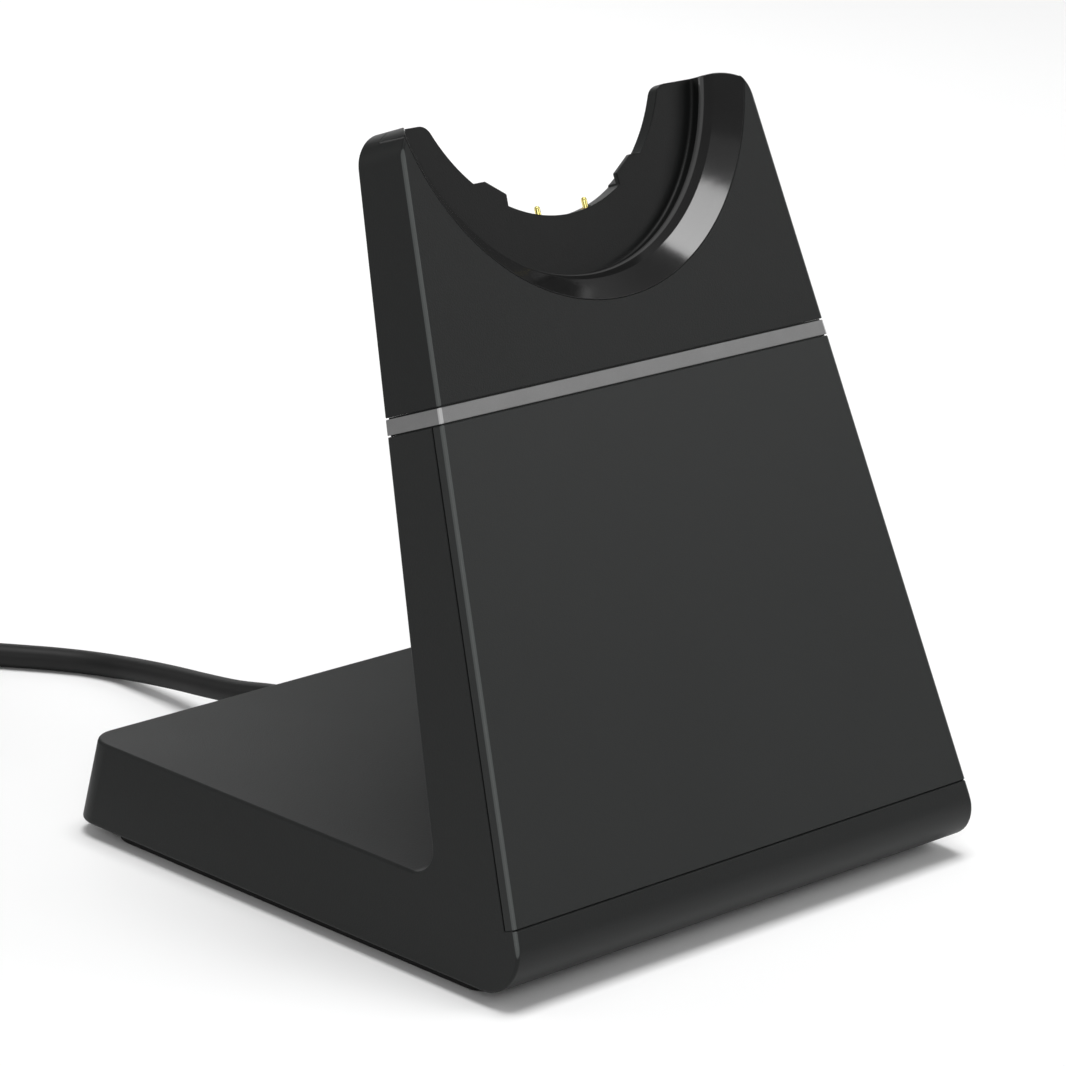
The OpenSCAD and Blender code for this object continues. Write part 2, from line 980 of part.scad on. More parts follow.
body_shell();
front_panel();
accent_band();
head_shell();
cradle_ring();
pin_plunger(-1);  // pin_plunger_left
pin_plunger(1);  // pin_plunger_right
pin_barrel(-1);  // pin_barrel_left
pin_barrel(1);  // pin_barrel_right
pin_spring(-1);  // pin_spring_left
pin_spring(1);  // pin_spring_right
contact_board();
contact_wires();
ballast_plate();
ballast_screws();
power_board();
power_screws();
charge_chip();
cable_connector();
cable_clamp();
clamp_screws();
base_plate();
base_screws();
foot_pad();
strain_relief();
usb_cable();
usb_cable_coil();
cable_tie();
usb_plug_body();
usb_plug_shell();
usb_plug_tongue();
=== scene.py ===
# %% [markdown]
# A desk charging stand for an office headset. The CAD model holds its true solids; here the pieces
# that show get soft moulded edges, textured plastics, gloss and a real cable.

# %% Load the frame
import math

import bmesh
import bpy
from mathutils import Matrix, Vector


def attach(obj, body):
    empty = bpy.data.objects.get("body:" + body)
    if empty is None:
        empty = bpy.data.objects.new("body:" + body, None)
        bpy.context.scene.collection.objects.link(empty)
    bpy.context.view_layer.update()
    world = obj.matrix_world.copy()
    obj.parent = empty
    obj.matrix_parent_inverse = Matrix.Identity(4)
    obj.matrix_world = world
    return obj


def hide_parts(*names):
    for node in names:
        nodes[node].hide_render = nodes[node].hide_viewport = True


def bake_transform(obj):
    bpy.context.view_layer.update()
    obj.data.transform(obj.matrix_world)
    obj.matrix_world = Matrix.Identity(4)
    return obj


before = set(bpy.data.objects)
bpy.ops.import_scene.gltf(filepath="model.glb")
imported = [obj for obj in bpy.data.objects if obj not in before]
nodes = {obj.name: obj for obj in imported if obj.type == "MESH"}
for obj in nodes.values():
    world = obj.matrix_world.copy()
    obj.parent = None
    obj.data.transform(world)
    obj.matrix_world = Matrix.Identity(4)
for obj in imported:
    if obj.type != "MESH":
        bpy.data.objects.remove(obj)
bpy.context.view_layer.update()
MM = 0.001

# %% [markdown]
# The stand is drawn in two frames, as in its CAD source. Heights in the base start at the underside
# of the housing, 2 mm above the desk. The face frame starts at the same front corner and leans back
# by 23 degrees, so a place on the front face is (across, depth behind the face, distance up it).

# %% The stand's own frames
LEAN = math.radians(23)
BASE_D = 88
TOE_R = 5.3 * MM
FOOT_H = 2 * MM
# The toe's round touches the underside and the leaning face, which says how far back its centre is.
toe_c = TOE_R * (1 + math.sin(LEAN)) / math.cos(LEAN)
corner = Vector((0, -(BASE_D * MM + toe_c - TOE_R) / 2, FOOT_H))
print("front corner, mm:", [round(v / MM, 2) for v in corner])

# %% [markdown]
# The camera stands to the front left, a little above the stand, and is rolled by four degrees. A
# long lens keeps the edges of the base nearly parallel.

# %% Camera
VIEW_AZIMUTH = math.radians(-48.05)
VIEW_ELEVATION = math.radians(17.56)
VIEW_ROLL = math.radians(3.98)
VIEW_FROM = (-0.52096, -0.46588, 0.26703)
LENS, SENSOR = 178.35, 36
back = Vector((
    math.sin(VIEW_AZIMUTH) * math.cos(VIEW_ELEVATION),
    -math.cos(VIEW_AZIMUTH) * math.cos(VIEW_ELEVATION),
    math.sin(VIEW_ELEVATION),
))
level_right = Vector((math.cos(VIEW_AZIMUTH), math.sin(VIEW_AZIMUTH), 0))
level_up = back.cross(level_right)
right = math.cos(VIEW_ROLL) * level_right + math.sin(VIEW_ROLL) * level_up
up = back.cross(right)
camera_data = bpy.data.cameras.new("camera")
camera_data.lens = LENS
camera_data.sensor_width = SENSOR
camera_data.clip_end = 20
camera = bpy.data.objects.new("camera", camera_data)
bpy.context.scene.collection.objects.link(camera)
camera.matrix_world = Matrix.Translation(VIEW_FROM) @ Matrix((right, up, back)).transposed().to_4x4()
bpy.context.scene.camera = camera
print("camera distance, m:", round(camera.location.length, 3))

# %% [markdown]
# The USB lead is one flexible cable, 3.6 mm thick. It leaves the back of the base, sinks to the
# desk, and its spare length is wound into a neat coil with the plug beside it. A curve with a round
# bevel keeps its thickness through every bend. The route is a short list of places, smoothed into
# one line, and the coil's turns are counted out by a loop.

# %% Cable route
CABLE_D = 3.6 * MM
COIL_AT = Vector((-47, 108, 0)) * MM
lead_out = [
    (0, 45, 8), (-0.2, 51, 7.2), (-0.6, 58, 5.9), (-0.4, 65, 4.9), (0.2, 72, 3.9), (0.4, 79, 2.9),
    (0.2, 84.5, 2.1), (-1.6, 89.4, 1.8), (-4.4, 93.4, 1.8), (-7.4, 97, 1.8), (-12, 102.2, 1.8),
    (-17, 108, 1.8), (-22, 114, 1.8), (-26, 119, 1.8),
]
tail_out = [
    (-68, 120, 12), (-74.4, 114.6, 10), (-80.6, 109, 7.2), (-86, 103.2, 4.8),
    (-90.8, 97.2, 3.7), (-94.2, 90.8, 3.6), (-96, 84, 4),
]


def smooth_step(t):
    return t * t * (3 - 2 * t)


def coil_turns():
    """Eight turns, two wide and four high. Each moves over to the next just before it would meet
    the place where the last one did. Angles are in degrees."""
    inner, outer = 19.2, 22.8
    slots = [(outer, 1.8), (inner, 1.8), (inner, 5.4), (outer, 5.4),
             (outer, 9.0), (inner, 9.0), (inner, 12.6), (outer, 12.6)]
    staying, moving, last = 280, 40, 330
    stay_steps, move_steps = 16, 3
    angle = 40.5
    points = []
    for k, (r, z) in enumerate(slots):
        stay = staying if k < len(slots) - 1 else last
        for i in range(stay_steps):
            points.append((angle + stay * i / stay_steps, r, z))
        angle += stay
        if k == len(slots) - 1:
            points.append((angle, r, z))
            break
        next_r, next_z = slots[k + 1]
        for i in range(move_steps):
            t = smooth_step(i / move_steps)
            points.append((angle + moving * i / move_steps, r + (next_r - r) * t, z + (next_z - z) * t))
        angle += moving
    return [
        COIL_AT + Vector((r * math.cos(math.radians(a)), r * math.sin(math.radians(a)), z)) * MM
        for a, r, z in points
    ]


def smoothed(points, per_span=4):
    """A Catmull-Rom line through the points."""
    line = []
    for i in range(len(points) - 1):
        p0 = points[max(i - 1, 0)]
        p1, p2 = points[i], points[i + 1]
        p3 = points[min(i + 2, len(points) - 1)]
        for k in range(per_span):
            t = k / per_span
            line.append(0.5 * (2 * p1 + (p2 - p0) * t + (2 * p0 - 5 * p1 + 4 * p2 - p3) * t ** 2
                               + (3 * p1 - p0 - 3 * p2 + p3) * t ** 3))
    return line + [points[-1]]


route = [Vector(p) * MM for p in lead_out] + coil_turns() + [Vector(p) * MM for p in tail_out]
cable_line = smoothed(route)
cable_length = sum((b - a).length for a, b in zip(cable_line, cable_line[1:]))
print("cable length, m:", round(cable_length, 3))

# %% Cable
cable_data = bpy.data.curves.new("usb_lead", "CURVE")
cable_data.dimensions = "3D"
cable_data.bevel_depth = 1
cable_data.bevel_resolution = 5
cable_data.resolution_u = 1
cable_data.use_fill_caps = True
spline = cable_data.splines.new("POLY")
spline.points.add(len(cable_line) - 1)
for point, place in zip(spline.points, cable_line):
    point.co = (*place, 1)
    point.radius = CABLE_D / 2
usb_lead = bpy.data.objects.new("usb_lead", cable_data)
bpy.context.scene.collection.objects.link(usb_lead)
spline.use_smooth = True
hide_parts("usb_cable", "usb_cable_coil")
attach(usb_lead, "stand")
print("cable points:", len(cable_line))

# %% [markdown]
# The mouldings are drawn in millimetres in the base's frame and shrunk to metres at the end, so the
# mesh tools' small tolerances suit their size. A mesh tool acts on everything that is selected, so
# each step starts with one piece and nothing else, and picks its edges by where they are.

# %% Tools: picking
collection = bpy.context.scene.collection


def only(piece):
    """Makes one piece the selected and active one, in object mode."""
    if bpy.context.mode != "OBJECT":
        bpy.ops.object.mode_set(mode="OBJECT")
    bpy.ops.object.select_all(action="DESELECT")
    piece.select_set(True)
    bpy.context.view_layer.objects.active = piece


def edit(piece, kind="EDGE", everything=False):
    """Opens a piece in edit mode, with nothing or everything selected."""
    only(piece)
    bpy.ops.object.mode_set(mode="EDIT")
    bpy.ops.mesh.select_mode(type=kind)
    bpy.ops.mesh.select_all(action="SELECT" if everything else "DESELECT")


def close():
    bpy.ops.object.mode_set(mode="OBJECT")


def merge(piece, flat=True):
    """Joins what touches, makes each flat side one face and turns all faces outwards."""
    edit(piece, "VERT", everything=True)
    bpy.ops.mesh.remove_doubles(threshold=0.002)
    if flat:
        bpy.ops.mesh.dissolve_limited(angle_limit=math.radians(0.3))
    bpy.ops.mesh.normals_make_consistent(inside=False)
    close()


# %% Tools: drawing
def as_mesh(name, curve):
    """A drawn curve turned into a mesh piece."""
    piece = bpy.data.objects.new(name, curve)
    collection.objects.link(piece)
    only(piece)
    bpy.ops.object.convert(target="MESH")
    return bpy.context.object


def flat_curve(name, outlines, extrude=0, closed=True):
    """A flat curve of straight pieces. An outline inside another one is a hole."""
    curve = bpy.data.curves.new(name, "CURVE")
    curve.dimensions = "2D"
    curve.fill_mode = "BOTH" if extrude else "NONE"
    curve.extrude = extrude
    for outline in outlines:
        line = curve.splines.new("POLY")
        line.points.add(len(outline) - 1)
        for point, (a, b) in zip(line.points, outline):
            point.co = (a, b, 0, 1)
        line.use_cyclic_u = closed
    return as_mesh(name, curve)


def settle(piece, where):
    """Moves a piece's mesh to where it belongs and leaves its object at the origin."""
    only(piece)
    piece.matrix_world = where
    bpy.ops.object.transform_apply()
    return piece


# A side view is drawn flat, so ACROSS stands it up: drawn right is back, drawn up is up.
ACROSS = Matrix(((0, 0, 1, 0), (1, 0, 0, 0), (0, 1, 0, 0), (0, 0, 0, 1)))
TILT = Matrix.Rotation(-LEAN, 4, "X")


def prism(name, outline, width):
    """One outline in depth and height, all the way across."""
    piece = settle(flat_curve(name, [outline], width / 2), ACROSS)
    merge(piece)
    return piece


def turned(name, profile, where, steps=128, closed=True):
    """A profile in radius and length, spun once round its axis."""
    piece = flat_curve(name, [profile], closed=closed)
    edit(piece, "VERT", everything=True)
    bpy.ops.mesh.spin(steps=steps, angle=math.tau, center=(0, 0, 0), axis=(0, 1, 0))
    close()
    settle(piece, where)
    merge(piece, flat=False)
    return piece


# %% Tools: cutting
def trim(piece, point, normal):
    """Cuts off what lies beyond a plane and closes the cut."""
    edit(piece, "VERT", everything=True)
    bpy.ops.mesh.bisect(plane_co=point, plane_no=normal, use_fill=True, clear_outer=True)
    close()


def combine(piece, other, how="DIFFERENCE"):
    """Cuts one solid with another, or joins them, and drops the other."""
    tool = piece.modifiers.new("combine", "BOOLEAN")
    tool.operation = how
    tool.solver = "EXACT"
    tool.object = other
    only(piece)
    bpy.ops.object.modifier_apply(modifier=tool.name)
    bpy.data.objects.remove(other)


def block(name, x, y, z, where=Matrix.Identity(4)):
    """A box by its three ranges."""
    bpy.ops.mesh.primitive_cube_add(size=1)
    piece = bpy.context.object
    piece.name = name
    middle = Vector([(r[0] + r[1]) / 2 for r in (x, y, z)])
    size = [r[1] - r[0] for r in (x, y, z)]
    return settle(piece, where @ Matrix.Translation(middle) @ Matrix.Diagonal((*size, 1)))


# %% Tools: edges and shading
def round_over(piece, radius, segments, wanted):
    """Rounds the sharp edges that pass a test of their two ends."""
    edit(piece)
    mesh = bmesh.from_edit_mesh(piece.data)
    count = 0
    for edge in mesh.edges:
        if len(edge.link_faces) == 2 and edge.calc_face_angle() > math.radians(25):
            if wanted(edge.verts[0].co, edge.verts[1].co):
                edge.select_set(True)
                count += 1
    bmesh.update_edit_mesh(piece.data)
    bpy.ops.mesh.bevel(offset=radius, segments=segments, affect="EDGES", clamp_overlap=False)
    close()
    return count


def soften(piece, width, segments=3, angle=35):
    """Takes the sharpness off every edge that is left."""
    bevel = piece.modifiers.new("soften", "BEVEL")
    bevel.width = width
    bevel.segments = segments
    bevel.limit_method = "ANGLE"
    bevel.angle_limit = math.radians(angle)
    bevel.use_clamp_overlap = False
    only(piece)
    bpy.ops.object.modifier_apply(modifier=bevel.name)


def shade(piece, angle=32):
    """Smooth shading that keeps flat sides flat."""
    only(piece)
    bpy.ops.object.shade_smooth_by_angle(angle=math.radians(angle))
    weigh = piece.modifiers.new("weigh", "WEIGHTED_NORMAL")
    weigh.keep_sharp = True
    bpy.ops.object.modifier_apply(modifier=weigh.name)


# %% Tools: handing over
DESK = Matrix.Scale(MM, 4)
BASE = Matrix.Translation(corner) @ DESK


def hand_over(piece, node, where=BASE):
    """Brings a drawn piece to its real size and place, and hides the solid that it stands for."""
    settle(piece, where)
    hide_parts(node)
    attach(piece, "stand")
    print(piece.name, "faces:", len(piece.data.polygons))


# %% [markdown]
# The housing is one bent L. Its side view says nearly everything: a rounded toe, a thin face that
# leans back, a fillet at the heel and a low slab. So the outline is drawn once, pulled across the
# width, and cut by the two side faces, which lean in by 7.2 degrees. All mouldings share these
# measures.

# %% Measures of the mouldings
BASE_W, SLAB_H = 96, 11.8
SIDE_LEAN = math.radians(7.2)
PANEL_FROM, PANEL_T = 10.2, 1.7
BAND_FROM, BAND_H, SEAM = 76.2, 2.1, 0.2
HEAD_FROM, FACE_LEN = 78.7, 115.5
WALL = 2
NECK_X, NECK_FROM, NECK_TO = 36.4, 2.15, 7.6
RING_UP = 122.4
PIN_X, PIN_DEPTH = 4.7, 7.7
toe = (toe_c / MM, TOE_R / MM)


def on_face(depth, up):
    """A place on the leaning part, in depth and height of the base."""
    return (
        depth * math.cos(LEAN) + up * math.sin(LEAN),
        up * math.cos(LEAN) - depth * math.sin(LEAN),
    )


def off_face(place):
    """The way back: depth behind the face, and distance up it."""
    return (
        place.y * math.cos(LEAN) - place.z * math.sin(LEAN),
        place.y * math.sin(LEAN) + place.z * math.cos(LEAN),
    )


def rear(up):
    """Depth of the rear face, which comes nearer to the front with height."""
    return 13.7 - up * math.tan(math.radians(2.7))


def side_x(z, inset=0):
    """Half the width at a height."""
    return BASE_W / 2 - inset / math.cos(SIDE_LEAN) - z * math.tan(SIDE_LEAN)


def arc(centre, radius, start, end, steps):
    """Places along an arc, from one angle to another in degrees."""
    turns = [math.radians(start + (end - start) * i / steps) for i in range(steps + 1)]
    return [(centre[0] + radius * math.cos(t), centre[1] + radius * math.sin(t)) for t in turns]


def trim_sides(piece, inset=0):
    """Cuts a piece with the two side faces, or with planes that far inside them."""
    for side in (-1, 1):
        outwards = (side * math.cos(SIDE_LEAN), 0, math.sin(SIDE_LEAN))
        trim(piece, (side * side_x(0, inset), 0, 0), outwards)


def on_side(a, b):
    """Whether an edge lies in one of the two side faces."""
    return a.x * b.x > 0 and all(abs(abs(p.x) - side_x(p.z)) < 0.02 for p in (a, b))


print("half width at the head's foot, mm:", round(side_x(on_face(0, HEAD_FROM)[1]), 2))

# %% [markdown]
# The body is moulded in one piece. Its edges are rounded by half a millimetre where a hand meets
# them, and by an eighth at the seams, where a tool edge has to stay crisp. The bevel tool does both:
# first on edges picked by place, then on all that are left. The hollow is cut last, as nobody sees
# its edges.

# %% Body: outer form
heel_lean = math.radians(20.3)
heel_r = 3
heel_y = on_face(rear(0), 0)[0] + (SLAB_H - on_face(rear(0), 0)[1]) * math.tan(heel_lean)
heel = (heel_y + heel_r * (math.tan(heel_lean) + 1 / math.cos(heel_lean)), SLAB_H + heel_r)
slab_draft = math.tan(math.radians(4.4))
groove = 0.4

body = prism("body_moulding", [
    *arc(toe, toe[1], 270, 157, 14),
    on_face(0, PANEL_FROM),
    on_face(groove, PANEL_FROM),
    on_face(groove, PANEL_FROM + SEAM - 0.01),
    on_face(PANEL_T + SEAM, PANEL_FROM + SEAM - 0.01),
    on_face(PANEL_T + SEAM, BAND_FROM),
    on_face(rear(BAND_FROM), BAND_FROM),
    *arc(heel, heel_r, 159.7, 270, 12),
    (BASE_D - SLAB_H * slab_draft, SLAB_H),
    (BASE_D, 0),
], BASE_W + 10)
trim_sides(body)
corners = round_over(
    body, 4.5, 8,
    lambda a, b: min(a.y, b.y) > 86 and abs(a.z - b.z) > 5,
)


def body_soft(a, b):
    seam = all(off_face(p)[1] > PANEL_FROM - 0.3 and off_face(p)[0] < 2.1 for p in (a, b))
    top = all(off_face(p)[1] > BAND_FROM - 0.1 for p in (a, b))
    return not seam and not top


soft = round_over(body, 0.45, 4, body_soft)
soften(body, 0.12)
print("corner edges:", corners, "soft edges:", soft, "faces:", len(body.data.polygons))

# %% Body: inside
rib_top = 10.3
ceiling = 9.8
inner = prism("inner", [
    (toe[0] + 1.4, -1),
    (toe[0] + 1.4, WALL),
    *arc(toe, toe[1] - WALL, 270, 157, 8),
    on_face(WALL, PANEL_FROM - WALL),
    on_face(PANEL_T + SEAM + WALL, PANEL_FROM - WALL),
    on_face(PANEL_T + SEAM + WALL, BAND_FROM - WALL),
    on_face(rear(BAND_FROM - WALL) - WALL, BAND_FROM - WALL),
    (heel_y - WALL * (math.tan(heel_lean) + 1 / math.cos(heel_lean)), ceiling),
    (BASE_D - WALL - ceiling * slab_draft, ceiling),
    (BASE_D - WALL, -1),
], BASE_W + 10)
trim_sides(inner, WALL)
combine(body, inner)
neck = block("neck", (-NECK_X, NECK_X), (NECK_FROM, NECK_TO), (BAND_FROM - WALL, 83), TILT)
combine(body, neck, "UNION")
combine(body, block("neck_way", (1.2 - NECK_X, NECK_X - 1.2), (3.35, 6.4), (73, 84), TILT))
print("faces with the hollow and the neck:", len(body.data.polygons))


# %% Body: posts and cable way
def post(name, x, y, r, z_from, z_to):
    """A round post or its bore, standing along z."""
    bpy.ops.mesh.primitive_cylinder_add(vertices=32, radius=r, depth=z_to - z_from)
    piece = bpy.context.object
    piece.name = name
    return settle(piece, Matrix.Translation((x, y, (z_from + z_to) / 2)))


# Each post has its place, its radius, the radius of its bore and the height that it starts from.
screw_posts = [(x, y, 3, 1.27, 2) for x in (-41, 41) for y in (26, 80)]
screw_posts += [(x, 39.5, 2.6, 1.02, 6.6) for x in (-30, 30)]
screw_posts += [(x, 64, 2.2, 0.82, 7.2) for x in (-19, 19)]
for x, y, r, bore, z in screw_posts:
    combine(body, post("post", x, y, r, z, rib_top), "UNION")
    combine(body, post("bore", x, y, bore, z - 1, ceiling - 0.4))
combine(body, block("saddle", (-8, 8), (81.6, 83.6), (7.8, rib_top)), "UNION")
BACK = Matrix.Translation((0, 0, 6))
cable_way = [(0, 79), (3.02, 79), (3.02, 87.2), (3.6, 87.2), (3.6, 90), (0, 90)]
combine(body, turned("cable_way", cable_way, BACK, 48, closed=False))
shade(body)
hand_over(body, "body_shell")

# %% [markdown]
# The head begins as a plain wedge with the same side faces. Its two top corners get their large
# rounds first, then a small round runs along the whole outline. The ring's recess, the dish and the
# open notch are cut with tools of the exact shape, and the new edges are softened after that,
# because a cut through a finished edge leaves a sharp line.

# %% Head: blank
blank = prism("head_blank", [
    on_face(0, HEAD_FROM),
    on_face(0, FACE_LEN),
    on_face(rear(FACE_LEN), FACE_LEN),
    on_face(rear(HEAD_FROM), HEAD_FROM),
], BASE_W)
trim_sides(blank)


def horn(a, b):
    return on_side(a, b) and all(off_face(p)[1] > FACE_LEN - 0.1 for p in (a, b))


def face_rim(a, b):
    in_face = all(abs(off_face(p)[0]) < 0.02 for p in (a, b))
    at_foot = all(off_face(p)[1] < HEAD_FROM + 0.1 for p in (a, b))
    return in_face and not at_foot


def back_rim(a, b):
    behind = all(off_face(p)[0] > 1.5 for p in (a, b))
    at_foot = all(off_face(p)[1] < HEAD_FROM + 0.1 for p in (a, b))
    return behind and not at_foot


print("horn edges:", round_over(blank, 4.2, 12, horn))
print("back edges:", round_over(blank, 0.35, 4, back_rim))
print("face edges:", round_over(blank, 0.4, 4, face_rim))
merge(blank)


def twin(piece, name):
    other = piece.copy()
    other.name = name
    other.data = piece.data.copy()
    collection.objects.link(other)
    return other


head = twin(blank, "head_moulding")
limit = twin(blank, "limit")

# %% Head: recess and dish
RING_AT = TILT @ Matrix.Translation((0, 0, RING_UP))
RING_R, RING_IN_R = 34.83, 30.7
RECESS_R, DISH_R = 34.88, 30.95
recess = [(0, -3), (RECESS_R, -3), (RECESS_R, 5), (0, 5)]
dish = [(0, -3), (DISH_R, -3), *arc((DISH_R - 0.5, 6), 0.5, 0, 90, 4), (0, 6.5)]
combine(head, turned("recess", recess, RING_AT, 160, closed=False))
combine(head, turned("dish", dish, RING_AT, 160, closed=False))
print("faces with the recess and the dish:", len(head.data.polygons))

# %% Head: notch
NOTCH_R, NOTCH_S = 25.1, 125.4
horn_round = 2.2
horn_x = math.sqrt((NOTCH_R + horn_round) ** 2 - (NOTCH_S - FACE_LEN + horn_round) ** 2)
meets = math.degrees(math.atan2(NOTCH_S - FACE_LEN + horn_round, horn_x))
half_notch = [
    (horn_x, FACE_LEN + 4),
    *arc((horn_x, FACE_LEN - horn_round), horn_round, 87, 180 - meets, 6),
    *arc((0, NOTCH_S), NOTCH_R, -meets, -48.2, 9),
    (14.5, 106.7),
    (11, 104.5),
    *arc((0, NOTCH_S), NOTCH_R, -63.7, -89, 10),
]
notch = flat_curve("notch", [half_notch + [(-x, s) for x, s in reversed(half_notch)]], 10)
FRONT_VIEW = Matrix(((1, 0, 0, 0), (0, 0, -1, 6), (0, 1, 0, 0), (0, 0, 0, 1)))
settle(notch, TILT @ FRONT_VIEW)
merge(notch)
combine(head, notch)
print("rounds of the horns, from the middle, mm:", round(horn_x, 2))

# %% Head: tabs and pin ways
# The tabs are thin: the notch runs on behind them. A pin way is narrow for the tail of the pin's
# barrel and wide for the barrel.
behind_tabs = [(0, 7.3), (NOTCH_R - 0.2, 7.3), (NOTCH_R - 0.2, 20), (0, 20)]
NOTCH_AT = TILT @ Matrix.Translation((0, 0, NOTCH_S))
combine(head, turned("thin_tabs", behind_tabs, NOTCH_AT, 128, closed=False))
STANDING = Matrix.Rotation(math.radians(90), 4, "X")
pin_way = [(0, 80), (0.32, 80), (0.32, 91.9), (0.77, 91.9), (0.77, 102), (0, 102)]
for x in (-PIN_X, PIN_X):
    place = TILT @ Matrix.Translation((x, PIN_DEPTH, 0)) @ STANDING
    combine(head, turned("pin_way", pin_way, place, 32, closed=False))
merge(head, flat=False)
soften(head, 0.14)


def hold_inside(piece, limit):
    """Brings the few points that a bevel threw past the blank back to its surface."""
    bpy.context.view_layer.update()
    moved = 0
    for vertex in piece.data.vertices:
        found, near, normal, face = limit.closest_point_on_mesh(vertex.co)
        if (vertex.co - near).dot(normal) > 0.003:
            vertex.co = near
            moved += 1
    return moved


print("points held inside:", hold_inside(head, limit))

# %% Head: inside
hollow = prism("hollow", [
    on_face(WALL, HEAD_FROM - 1),
    on_face(WALL, 104),
    on_face(rear(104) - WALL, 104),
    on_face(rear(HEAD_FROM - 1) - WALL, HEAD_FROM - 1),
], BASE_W)
trim_sides(hollow, WALL)
land = [(0, -9), (36.3, -9), (36.3, 20), (0, 20)]
combine(hollow, turned("land", land, RING_AT, 96, closed=False))
combine(head, hollow)
combine(head, block("board_pocket", (-10.5, 10.5), (3, 8.6), (82, 86.1), TILT))
shade(head)
hand_over(head, "head_shell")

# %% [markdown]
# The ring is a polished trim piece with two bevels, one beside the other, that catch the light
# separately. Its section is spun round its axis and then kept only inside the head's blank, so its
# ends follow the rounded horns. A line as thin as a hair is left between it and the head.

# %% Ring
section = [(RING_R, 0), (31.6, 2.9), (RING_IN_R, 4.46), (RING_IN_R, 5), (RING_R, 5)]
ring = turned("trim_ring", section, RING_AT, 160)
combine(ring, blank, "INTERSECT")
merge(ring, flat=False)
soften(ring, 0.16, 8, 25)
print("points held inside:", hold_inside(ring, limit))
bpy.data.objects.remove(limit)
shade(ring, 17)
hand_over(ring, "cradle_ring")

# %% [markdown]
# The front panel is a separate trim plate that wraps the corners. The accent band is a flat frame
# squeezed between body and head. It has a core, a little smaller than its rim, so the seams above
# and below it are shallow grooves that no light passes.

# %% Front panel
panel = prism("front_trim", [
    on_face(0, PANEL_FROM + SEAM),
    on_face(0, BAND_FROM),
    on_face(PANEL_T, BAND_FROM),
    on_face(PANEL_T, PANEL_FROM + SEAM),
], BASE_W + 10)
trim_sides(panel)


def front_corner(a, b):
    return on_side(a, b) and all(off_face(p)[0] < 0.05 for p in (a, b))


def back_corner(a, b):
    return on_side(a, b) and all(off_face(p)[0] > 8 for p in (a, b))


round_over(panel, 0.4, 4, front_corner)
soften(panel, 0.12)
shade(panel)
hand_over(panel, "front_panel")


# %% Accent band
def band_layer(name, inset, low, high):
    piece = prism(name, [
        on_face(inset, low), on_face(inset, high), on_face(rear(high) - inset, high),
        on_face(rear(low) - inset, low),
    ], BASE_W)
    trim_sides(piece, inset)
    return piece


band = band_layer("accent_frame", 0, BAND_FROM + SEAM, BAND_FROM + SEAM + BAND_H)
round_over(band, 0.4, 4, front_corner)
round_over(band, 0.35, 4, back_corner)
soften(band, 0.1)
combine(band, band_layer("core", groove, BAND_FROM + 0.01, HEAD_FROM - 0.01), "UNION")
gap = 0.15
combine(band, block(
    "neck_hole", (-NECK_X - gap, NECK_X + gap), (NECK_FROM - gap, NECK_TO + gap),
    (BAND_FROM - 2, HEAD_FROM + 2), TILT,
))
shade(band)
hand_over(band, "accent_band")

# %% [markdown]
# Under the base lies one soft rubber foot. Its outline is drawn flat and pulled down, its lower edge
# is rounded, and the underside is inset and pushed in to leave the raised rim that grips the desk.


# %% Rubber foot
def rounded_rect(x, y, r, steps=6):
    return [
        place
        for cx, cy, start in ((x[1] - r, y[0] + r, 270), (x[1] - r, y[1] - r, 0),
                              (x[0] + r, y[1] - r, 90), (x[0] + r, y[0] + r, 180))
        for place in arc((cx, cy), r, start, start + 90, steps)
    ]


foot = flat_curve("rubber_foot", [rounded_rect((-45.4, 45.4), (toe[0] + 2.2, 82), 3)], 1)
settle(foot, Matrix.Translation((0, 0, -1)))
merge(foot)
print("foot edges:", round_over(foot, 0.4, 3, lambda a, b: max(a.z, b.z) < -1.9))
edit(foot, "FACE")
under = bmesh.from_edit_mesh(foot.data)
for face in under.faces:
    face.select_set(face.normal.z < -0.99)
bmesh.update_edit_mesh(foot.data)
bpy.ops.mesh.inset(thickness=4)
bpy.ops.mesh.extrude_region_move(TRANSFORM_OT_translate={"value": (0, 0, 0.4)})
close()
soften(foot, 0.1, 2)
shade(foot)
hand_over(foot, "foot_pad")

# %% [markdown]
# Four small mouldings belong to the cable: the strain relief at the back of the base, the strap
# round the coil, and the plug's grip with its own ribbed sleeve. The sleeves are spun like the ring.
# Their grooves are what lets a stiff sleeve bend with the cable.

# %% Strain relief
sleeve = [
    (1.82, 84.2), (3.4, 84.2), (3.4, 85.2), (3, 85.2),
    (3, 87.2), (3.4, 87.2), (3.4, 88.1), (2.6, 88.4),
]
for k in range(3):
    y = 88.9 + 1.4 * k
    r = 2.55 - 0.13 * k
    sleeve += [(r, y), (r - 0.35, y + 0.1), (r - 0.35, y + 0.5), (r - 0.05, y + 0.6)]
sleeve += [(2.15, 93.2), (1.82, 93.2)]
relief = turned("cable_sleeve", sleeve, BACK, 48)
soften(relief, 0.06, 2)
shade(relief)
hand_over(relief, "strain_relief")

